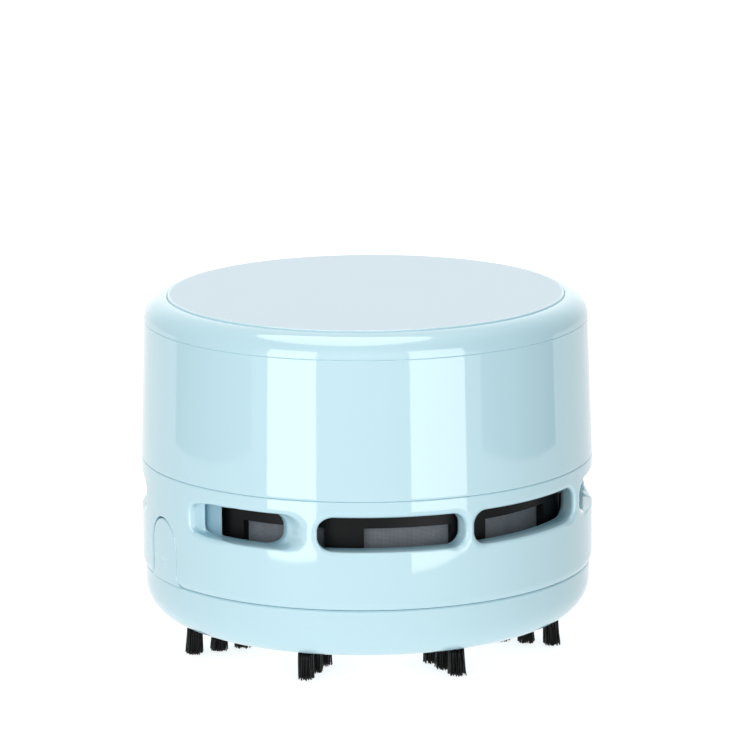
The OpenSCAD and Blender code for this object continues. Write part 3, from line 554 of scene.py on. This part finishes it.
CAP_BORE_R = 37.25
CAP_FOOT = CAP_SEAM + 0.01
CROWN_RUN = 4.4  # from the bore to the outside
CROWN_DROP = 0.28  # under the top of the disc
CROWN_Z = TOP_Z - CROWN_DROP
CROWN_RISE = CROWN_RUN - CROWN_DROP
CROWN_STEPS = 12
CROWN_SWEEP = math.radians(87.5)  # ends before the crown would fold over its lip
LIP_IN, LIP_DROP, LIP_ROUND = 0.16, 0.14, 0.05
SPIGOT_R = 39.4
SPIGOT_BORE = SPIGOT_R - 1.5
SPIGOT_LOW = CAP_SEAM - 3.4
CATCH_LOW = CAP_SEAM - 1.0  # the inner ledge that holds the disc's legs
CATCH_TOP = CAP_SEAM + 0.3
CATCH_BORE = 34.45
CATCH_WELD = 0.1
CATCH_SEGMENTS = 72
LEG_SLOT_OUT = 36.25
LEG_SLOT_SWEEP = 10.0
LEGS = 3
LEG_STEP = 360 / LEGS

cap_points = outline([
    (LEG_SLOT_OUT, CATCH_LOW, SMALL),
    (SPIGOT_BORE, CATCH_LOW, SMALL),
    (SPIGOT_BORE, SPIGOT_LOW, MEDIUM),
    (SPIGOT_R, SPIGOT_LOW, LARGE),
    (SPIGOT_R, CAP_FOOT, SMALL),
])
cap_points += outline([  # its first and last corner, as in the last piece, only give the direction
    (SPIGOT_R, CAP_FOOT, 0.0),
    (SLEEVE_TOP_R - SEAM_EDGE, CAP_FOOT, FINE),
    (SLEEVE_TOP_R, CAP_FOOT + SEAM_EDGE, FINE),
    (SLEEVE_TOP_R, CROWN_Z, 0.0),
])[1:-1]
for k in range(CROWN_STEPS + 1):
    c, s = math.cos(CROWN_SWEEP * k / CROWN_STEPS), math.sin(CROWN_SWEEP * k / CROWN_STEPS)
    on_crown = Vector((CAP_BORE_R + CROWN_RUN * c, CROWN_Z - CROWN_RISE + CROWN_RISE * s))
    cap_points.append((on_crown, Vector((CROWN_RISE * c, CROWN_RUN * s)).normalized()))
cap_points += outline([
    (CAP_BORE_R + 2, CROWN_Z, 0),
    (CAP_BORE_R + LIP_IN, CROWN_Z, LIP_ROUND),
    (CAP_BORE_R, CROWN_Z - LIP_DROP, FINE),
    (CAP_BORE_R, CATCH_TOP, SMALL),
    (LEG_SLOT_OUT, CATCH_TOP, SMALL),
    (LEG_SLOT_OUT, CATCH_LOW, 0),
])[1:-1]
catch_outline = outline([
    (CATCH_BORE, CATCH_LOW, MEDIUM),
    (LEG_SLOT_OUT + CATCH_WELD, CATCH_LOW, SHARP),
    (LEG_SLOT_OUT + CATCH_WELD, CATCH_TOP, SHARP),
    (CATCH_BORE, CATCH_TOP, MEDIUM),
])
cap_parts = [turned(cap_points)]
for i in range(LEGS):
    start = 90 + LEG_SLOT_SWEEP / 2 + LEG_STEP * i
    cap_parts.append(turned(catch_outline, CATCH_SEGMENTS, start, LEG_STEP - LEG_SLOT_SWEEP))
dress(joined("cap_ring", *cap_parts), "battery_cap", "body_blue", "battery_cap")

# ---------------------------------------------------------------- power button

BUTTON_R = CAP_BORE_R - 0.15
BUTTON_Z = TOP_Z - 1.6
SKIRT_R = BUTTON_R - 1.4
SKIRT_Z = CATCH_TOP + 2.0
DISC_EDGE = ((-0.1, 0.38, FINE), (0.02, 0.08, SMALL), (0.14, 0, SMALL))  # in, down, round
BUTTON_WELD = 0.05
STEM_R = 3.0
STEM_SEGMENTS = 48
STEM_Z = high("switch_plunger").z + 0.05
RIB_REACH = 29.25
RIB_T = 1.2
RIB_LOW = BUTTON_Z - 1.45
LEG_R = 35.05
LEG_T = 1.0
LEG_SWEEP = 8.0
LEG_SEGMENTS = 8
LEG_ROUND = 0.15
LEG_Z = low("power_button").z
HOOK_R = LEG_R + 1.7
HOOK_TOP = LEG_Z + 0.75
HOOK_CHAMFER = 0.35

under_disc = BUTTON_Z + BUTTON_WELD
leg_outline = outline([
    (LEG_R, LEG_Z, LEG_ROUND),
    (HOOK_R - HOOK_CHAMFER, LEG_Z, SMALL),
    (HOOK_R, LEG_Z + HOOK_CHAMFER, LEG_ROUND),
    (HOOK_R, HOOK_TOP, SMALL),
    (LEG_R + LEG_T, HOOK_TOP, SMALL),
    (LEG_R + LEG_T, under_disc, SHARP),
    (LEG_R, under_disc, SHARP),
])
rib_length, rib_width, rib_height = (-RIB_REACH, RIB_REACH), (-RIB_T / 2, RIB_T / 2), (RIB_LOW, under_disc)
button_parts = [
    turned_disc(outline([
        (0, BUTTON_Z, 0),
        (SKIRT_R, BUTTON_Z, LARGE),
        (SKIRT_R, SKIRT_Z, LARGE),
        (BUTTON_R - DISC_EDGE[0][0], SKIRT_Z, MEDIUM),
        *((BUTTON_R - inward, TOP_Z - down, radius) for inward, down, radius in DISC_EDGE),
        (0, TOP_Z, 0),
    ])),
    turned_disc(outline([
        (0, STEM_Z, 0),
        (STEM_R, STEM_Z, LARGE),
        (STEM_R, under_disc, SHARP),
        (0, under_disc, 0),
    ]), STEM_SEGMENTS),
    block(rib_length, rib_width, rib_height),
    block(rib_width, rib_length, rib_height),
]
for i in range(LEGS):
    button_parts.append(turned(leg_outline, LEG_SEGMENTS, 90 - LEG_SWEEP / 2 + LEG_STEP * i, LEG_SWEEP))
button = dress(joined("press_button", *button_parts), "power_button", "button_satin", "power_button")

# ---------------------------------------------------------------- skins of distances

PROBE = 0.01  # half the step that measures a slope
STEPS_TO_FACE = 6
LEAST_SLOPE = 0.2  # squared; keeps a step short where a distance is flat


def rounded(a, b, radius):
    """Distance to the common part of two shapes, with a round where their faces meet."""
    corner = np.hypot(np.maximum(a + radius, 0), np.maximum(b + radius, 0))
    return np.minimum(np.maximum(a, b), -radius) + corner


def levels(*stretches):
    """Grid levels from stretches (start, end, step)."""
    found_levels = []
    for start, end, step in stretches:
        count = max(1, round((end - start) / step))
        found_levels += [start + (end - start) * i / count for i in range(count)]
    return np.array(found_levels + [stretches[-1][1]])


def slope_of(distance, x, y, z):
    """Gradient of a distance."""
    g = np.stack([
        distance(x + PROBE, y, z) - distance(x - PROBE, y, z),
        distance(x, y + PROBE, z) - distance(x, y - PROBE, z),
        distance(x, y, z + PROBE) - distance(x, y, z - PROBE),
    ])
    return g / (2 * PROBE)


def skin_of(name, distance, turns, radii, heights, start=0.0, sweep=360.0):
    """Closed mesh on the zero face of a distance, from cells all the way round the Z axis or part of it."""
    step = math.radians(sweep) / turns
    full = sweep >= 360.0
    angle = math.radians(start) + np.arange(turns if full else turns + 1) * step
    a, r, z = np.meshgrid(angle, radii, heights, indexing="ij")
    inside = distance(r * np.sin(a), -r * np.cos(a), z) < 0
    around = np.concatenate([inside, inside[:1]]) if full else inside
    inside = inside[:turns]
    corners = [around[i:turns + i, j:len(radii) - 1 + j, k:len(heights) - 1 + k]
               for i in (0, 1) for j in (0, 1) for k in (0, 1)]
    held = sum(c.astype(np.int8) for c in corners)
    crossed = (held > 0) & (held < 8)
    index = np.full(crossed.shape, -1)
    index[crossed] = np.arange(crossed.sum())
    i, j, k = np.nonzero(crossed)
    turn = math.radians(start) + (i + 0.5) * step
    reach = (radii[j] + radii[j + 1]) / 2
    points = np.stack([reach * np.sin(turn), -reach * np.cos(turn), (heights[k] + heights[k + 1]) / 2])
    for _ in range(STEPS_TO_FACE):
        g = slope_of(distance, *points)
        points -= g * distance(*points) / np.maximum((g * g).sum(axis=0), LEAST_SLOPE)
    normals = slope_of(distance, *points)
    normals /= np.maximum(np.linalg.norm(normals, axis=0), 1e-6)
    faces = []

    def quads(first, second, cells):
        """Faces across the grid edges that run from inside to outside, and back."""
        one = [c[(first & ~second)] for c in cells]
        other = [c[(second & ~first)] for c in cells]
        faces.append(np.stack(one, axis=1))
        faces.append(np.stack(other[::-1], axis=1))

    before = np.roll(index, 1, axis=0)
    quads(around[:-1, 1:-1, 1:-1], around[1:, 1:-1, 1:-1],
          [index[:, :-1, :-1], index[:, :-1, 1:], index[:, 1:, 1:], index[:, 1:, :-1]])
    quads(inside[:, :-1, 1:-1], inside[:, 1:, 1:-1],
          [before[:, :, :-1], index[:, :, :-1], index[:, :, 1:], before[:, :, 1:]])
    quads(inside[:, 1:-1, :-1], inside[:, 1:-1, 1:],
          [before[:, :-1, :], before[:, 1:, :], index[:, 1:, :], index[:, :-1, :]])
    quad = np.concatenate(faces)
    corner = points[:, quad]
    middle = corner.mean(axis=2)
    across = np.cross((corner[:, :, 2] - corner[:, :, 0]).T, (corner[:, :, 3] - corner[:, :, 1]).T)
    if (across.T * middle).sum() < 0:
        quad = quad[:, ::-1]
    return new_mesh(name, points.T.tolist(), quad.tolist(), normals.T.tolist())


# ---------------------------------------------------------------- moulded shell with the vents

EDGE_ROUND = 0.25
SHELL_R = BODY_R - 2.0
SHELL_FOOT = TRAY_SEAM + 0.04
FOOT_IN = 0.5  # how far the skin draws in at its foot
FOOT_TOP = TRAY_SEAM + 1.65
FOOT_H = 1.5
BAND_R = BODY_R - 4.2
BAND_FOOT = SLOT_Z - 1.25
BAND_HEAD = MID_SEAM - 2.0
BAND_SLOPE = 0.48
SLOPE_UNIT = 0.9  # turns the height over the slope into a distance
SLOT_ROUND = 2.5
SLOT_MID = (0.9, 26.25)
SLOT_END = (28.85, 36.4)
DRAFT_FROM = BODY_R - 0.8
DRAFT_DEPTH = 4
END_DRAFT = 0.2  # how much the inner end leans per millimetre of depth
LEDGE_X = 38.2
LEDGE_ROUND = 1.4
RUNOUT_X = 41.35
RUNOUT_R = BODY_R - 3.1
RUNOUT_Y = math.sqrt(BODY_R ** 2 - RUNOUT_X ** 2)
RUNOUT_CORNER = 1.0
RUNOUT_ROUND = 0.9
POCKET_ROUND = 0.35
SLOT_ENDS = (*SLOT_MID, SLOT_END[0], RUNOUT_X)
RIM_ROUND = 0.45
WIDE_ROUND = 1.2  # on the outer edge of the upper rims and of the ends
WIDE_DEPTH = 2.4  # how deep the wide round goes
WIDE_DEPTH_FADE = 0.8
WIDE_END = 3.75  # how near an end it starts
WIDE_END_FADE = 3.0
WIDE_UP_FADE = 1.5
NOTCH_R = 5.2
NOTCH_Z = TRAY_SEAM + 7.05
NOTCH_FILLET = 2.0


def slot(x, z, x_low, x_high, corner):
    """Distance in the plane to a slot with round corners."""
    half_x, half_z = (x_high - x_low) / 2, SLOT_H / 2
    qx = np.abs(x - (x_low + x_high) / 2) - half_x + corner
    qz = np.abs(z - SLOT_Z - half_z) - half_z + corner
    return np.hypot(np.maximum(qx, 0), np.maximum(qz, 0)) + np.minimum(np.maximum(qx, qz), 0) - corner


def rim_round(ax, r, z):
    """Radius of the vents' rims: wide on the outer edge of the upper rims and near the ends."""
    near_end = np.min([np.abs(ax - end) for end in SLOT_ENDS], axis=0)
    at_end = np.clip((WIDE_END - near_end) / WIDE_END_FADE, 0, 1)
    upper = np.clip((z - SLOT_Z - SLOT_H / 2) / WIDE_UP_FADE, 0, 1)
    outer = np.clip((r - BODY_R + WIDE_DEPTH) / WIDE_DEPTH_FADE, 0, 1)
    return RIM_ROUND + (WIDE_ROUND - RIM_ROUND) * np.maximum(at_end, upper) * outer


def vent_cut(ax, ay, r, z):
    """Distance to the vents: full slots, and at either end a slot with a stepped pocket that runs out."""
    inner_end = SLOT_END[0] + END_DRAFT * np.clip(DRAFT_FROM - r, 0, DRAFT_DEPTH)
    inner_part = slot(ax, z, inner_end, 2 * LEDGE_X, SLOT_ROUND)
    pocket = np.maximum(inner_part, slot(ax, z, inner_end, LEDGE_X, LEDGE_ROUND))
    pocket = np.maximum(pocket, np.minimum(ax - SLOT_END[1], LEDGE_R - r))
    floor_face = rounded(RUNOUT_R - r, RUNOUT_Y - ay, RUNOUT_CORNER)
    runout = rounded(slot(ax, z, inner_end, RUNOUT_X, SLOT_ROUND), floor_face, RUNOUT_ROUND)
    runout = -rounded(-runout, -pocket, POCKET_ROUND)
    return np.minimum(slot(ax, z, *SLOT_MID, SLOT_ROUND), runout)


def shell_distance(x, y, z):
    """Distance in millimetres to the face of the vent shell, negative inside its wall."""
    r = np.hypot(x, y)
    ax, ay = np.abs(x), np.abs(y)
    taper = np.clip((FOOT_TOP - z) / FOOT_H, 0, 1)
    outer = r - BODY_R + FOOT_IN * taper ** 2
    skin = rounded(rounded(outer, z - MID_SEAM, EDGE_ROUND), SHELL_FOOT - z, EDGE_ROUND)
    slope = (BAND_FOOT - z - (r - BAND_R) * BAND_SLOPE) * SLOPE_UNIT
    band = np.maximum(np.maximum(skin, BAND_R - r), np.maximum(slope, z - BAND_HEAD))
    solid = np.minimum(np.maximum(skin, SHELL_R - r), band)
    solid = rounded(solid, -vent_cut(ax, ay, r, z), rim_round(ax, r, z))
    notch = np.where(z > NOTCH_Z, np.hypot(y, z - NOTCH_Z), ay) - NOTCH_R
    return rounded(solid, rounded(-notch, TRAY_SEAM - z, NOTCH_FILLET), EDGE_ROUND)


# The grid is fine where an edge or a rim lies and coarse where the wall is plain.
SHELL_TURNS = 600
SHELL_RADII = levels((37.8, 41.4, 0.3), (41.4, 42.7, 0.13))
SHELL_HEIGHTS = levels((14.6, 15.2, 0.1), (15.2, 16.4, 0.2), (16.4, 24.2, 0.6), (24.2, 26.8, 0.22),
                       (26.8, 30.7, 0.43), (30.7, 33.2, 0.22), (33.2, 34.5, 0.33), (34.5, 35.1, 0.1))
shell = skin_of("vent_shell_moulding", shell_distance, SHELL_TURNS, SHELL_RADII, SHELL_HEIGHTS)
dress(shell, "housing", "body_blue", "vent_shell")

# ---------------------------------------------------------------- release tabs

TAB_R = BODY_R - 0.15
TAB_T = 1.8
TAB_HALF = 4.9
TAB_FOOT = low("release_tab_left").z + 0.02
TAB_FILLET = 2.3
TAB_FILLET_Z = TRAY_SEAM - 0.18
TAB_ROUND, TAB_INNER_ROUND = 0.3, 0.2
MARK_Z = TRAY_SEAM + 3.4
MARK_DEPTH = 0.14
MARK_HALF = 0.9
MARK_SPREAD = 0.944  # half width gained per millimetre of height
MARK_UNIT = 0.727  # turns the width beside the mark into a distance
MARK_EDGE = 0.5


def tab_distance(x, y, z):
    """Distance in millimetres to the face of a release tab, negative inside it."""
    r = np.hypot(x, y)
    ay = np.abs(y)
    arch = np.where(z > NOTCH_Z, np.hypot(y, z - NOTCH_Z), ay) - TAB_HALF
    arch = -rounded(-arch, TAB_FILLET_Z - z, TAB_FILLET)
    flank = (ay - (z - MARK_Z + MARK_HALF) * MARK_SPREAD) * MARK_UNIT
    mark = np.maximum(z - MARK_Z - MARK_HALF, flank)
    sunk = MARK_DEPTH * np.clip(0.5 - mark / MARK_EDGE, 0, 1)
    solid = rounded(rounded(r - TAB_R + sunk, arch, TAB_ROUND), TAB_R - TAB_T - r, TAB_INNER_ROUND)
    return np.maximum(solid, TAB_FOOT - z)


TAB_TURNS = 120
TAB_SWEEP = 22.0
TAB_RADII = levels((40.3, 42.5, 0.14))
TAB_HEIGHTS = levels((14.6, 15.2, 0.06), (15.2, 26.8, 0.14))
for side, turn in (("left", 270.0), ("right", 90.0)):
    start = turn - TAB_SWEEP / 2
    tab = skin_of("tab_" + side, tab_distance, TAB_TURNS, TAB_RADII, TAB_HEIGHTS, start, TAB_SWEEP)
    dress(tab, "release_tab_" + side, "body_blue", "release_tab_" + side)

# ---------------------------------------------------------------- carried pieces

CAGE_ROUND = 0.2
edges = frame["nodes"]["filter_cage"].modifiers.new("edges", "BEVEL")
edges.width = CAGE_ROUND * MM
edges.segments = 3
edges.limit_method = "ANGLE"
edges.angle_limit = math.radians(35.0)
edges.harden_normals = True

# ---------------------------------------------------------------- stage and light

FLOOR_HALF = 6000
FLOOR_GLOW = 0.72
floor_material = finish("floor_white", (0.50, 0.50, 0.50), 0.7, tint=0.005, specular=0.1)
floor_shader = found(floor_material.node_tree, "BSDF_PRINCIPLED")
floor_shader.inputs["Emission Color"].default_value = (1, 1, 1, 1)
floor_shader.inputs["Emission Strength"].default_value = FLOOR_GLOW
floor_corners = [(i * FLOOR_HALF, j * FLOOR_HALF, 0) for i, j in ((-1, -1), (1, -1), (1, 1), (-1, 1))]
floor = new_mesh("floor", floor_corners, [(0, 1, 2, 3)])
floor.data.materials.append(floor_material)
floor.visible_diffuse = False

STRIP_LOW, STRIP_HIGH = 0.5, 106.0
CARD_LOW, CARD_HIGH = 18, 150
photo = Matrix.Rotation(PHOTO_TURN, 4, "Z")


def soft_box(name, shape, width, height, radiance, turn):
    """Area light of an even radiance, seen in the gloss alone."""
    data = bpy.data.lights.new(name, "AREA")
    data.shape = shape
    data.size = width
    data.size_y = height
    data.energy = radiance * math.pi * width * height * (math.pi / 4 if shape == "ELLIPSE" else 1)
    obj = bpy.data.objects.new(name, data)
    bpy.context.scene.collection.objects.link(obj)
    obj.matrix_world = photo @ turn
    obj.visible_camera = False
    obj.visible_diffuse = False
    return obj


def strip(name, start, end, radiance):
    """Upright soft box between two points of the floor plan."""
    a, b = Vector(start).to_3d() * MM, Vector(end).to_3d() * MM
    side = (b - a).normalized()
    up = Vector((0, 0, 1))
    turn = Matrix((side, up, side.cross(up))).transposed().to_4x4()
    turn.translation = (a + b) / 2 + Vector((0, 0, (STRIP_LOW + STRIP_HIGH) / 2 * MM))
    return soft_box(name, "RECTANGLE", (b - a).length, (STRIP_HIGH - STRIP_LOW) * MM, radiance, turn)


def card(name, start, end, colour):
    """Upright card beside the part that shows in its gloss alone."""
    plan = ((start, CARD_LOW), (end, CARD_LOW), (end, CARD_HIGH), (start, CARD_HIGH))
    obj = new_mesh(name, [photo @ Vector((*p, z)) for p, z in plan], [(0, 1, 2, 3)])
    m = bpy.data.materials.new(name)
    m.use_nodes = True
    m.node_tree.nodes.clear()
    shine = node(m.node_tree, "Emission", Color=colour + (1.0,))
    m.node_tree.links.new(shine.outputs[0], node(m.node_tree, "OutputMaterial").inputs[0])
    obj.data.materials.append(m)
    obj.visible_camera = False
    obj.visible_diffuse = False
    obj.visible_shadow = False


# The strips light everything but the satin disc, which would turn white from behind.
spared = bpy.data.collections.new("spared_by_strips")
spared.objects.link(button)
spared.collection_objects[0].light_linking.link_state = "EXCLUDE"
for light in (strip("strip_left", (-91.5, -96.9), (-49.6, -125.9), 5.0),
              strip("strip_right", (39.4, -119.2), (95.8, -100.7), 4.2)):
    light.light_linking.receiver_collection = spared
soft_box("overhead", "ELLIPSE", 0.46, 0.55, 3.6, Matrix.Translation((-0.07, -0.02, 0.565)))
card("card_left", (-150, -110), (-150, 28), (0.37, 0.39, 0.42))
card("card_right", (150, -110), (150, 22), (0.08, 0.16, 0.24))

LOBES = (  # azimuth from the camera's side, elevation, narrowness, radiance
    (0, 90, 6, 2.6), (0, -90, 1, 1.52), (0, 5, 4, 2.70), (-75, 10, 4, 0.82), (75, 10, 4, 0.08),
    (180, 10, 2, 1.53), (180, -20, 2, 0.51),
)
world = bpy.data.worlds.new("studio")
bpy.context.scene.world = world
world.use_nodes = True
tree = world.node_tree
tree.nodes.clear()
sky = node(tree, "Background")
tree.links.new(sky.outputs[0], node(tree, "OutputWorld").inputs[0])
direction = node(tree, "TexCoord").outputs["Generated"]
total = None
for azimuth, elevation, power, radiance in LOBES:
    azimuth, elevation = math.radians(azimuth), math.radians(elevation)
    level = math.cos(elevation)
    lean = node(tree, "VectorMath", operation="DOT_PRODUCT")
    tree.links.new(direction, lean.inputs[0])
    lean.inputs[1].default_value = photo @ Vector(
        (math.sin(azimuth) * level, -math.cos(azimuth) * level, math.sin(elevation)))
    facing = node(tree, "Math", operation="MAXIMUM")
    tree.links.new(lean.outputs["Value"], facing.inputs[0])
    facing.inputs[1].default_value = 0
    lobe = node(tree, "Math", operation="POWER")
    tree.links.new(facing.outputs[0], lobe.inputs[0])
    lobe.inputs[1].default_value = power
    add = node(tree, "Math", operation="MULTIPLY_ADD")
    tree.links.new(lobe.outputs[0], add.inputs[0])
    add.inputs[1].default_value = radiance
    add.inputs[2].default_value = 0.0
    if total:
        tree.links.new(total, add.inputs[2])
    total = add.outputs[0]
tree.links.new(total, sky.inputs["Strength"])

# ---------------------------------------------------------------- camera

TILT = math.radians(12.0)
ROLL = math.radians(-0.428)
REACH = 933.06
AIM = Vector((0.504, 0, 50.612))
back = Vector((0, -math.cos(TILT), math.sin(TILT)))
across = Vector((1, 0, 0))
above = across.cross(-back)
right = math.cos(ROLL) * across + math.sin(ROLL) * above
up = math.cos(ROLL) * above - math.sin(ROLL) * across
pose = Matrix((right, up, back)).transposed().to_4x4()
pose.translation = (AIM + back * REACH) * MM
camera_data = bpy.data.cameras.new("photo_camera")
camera_data.lens = 242.19
camera_data.sensor_width = 36.0
camera_data.clip_start = 0.01
camera_data.clip_end = 50.0
camera = bpy.data.objects.new("photo_camera", camera_data)
bpy.context.scene.collection.objects.link(camera)
camera.matrix_world = photo @ pose
bpy.context.scene.camera = camera
bpy.context.scene.view_settings.view_transform = "Standard"
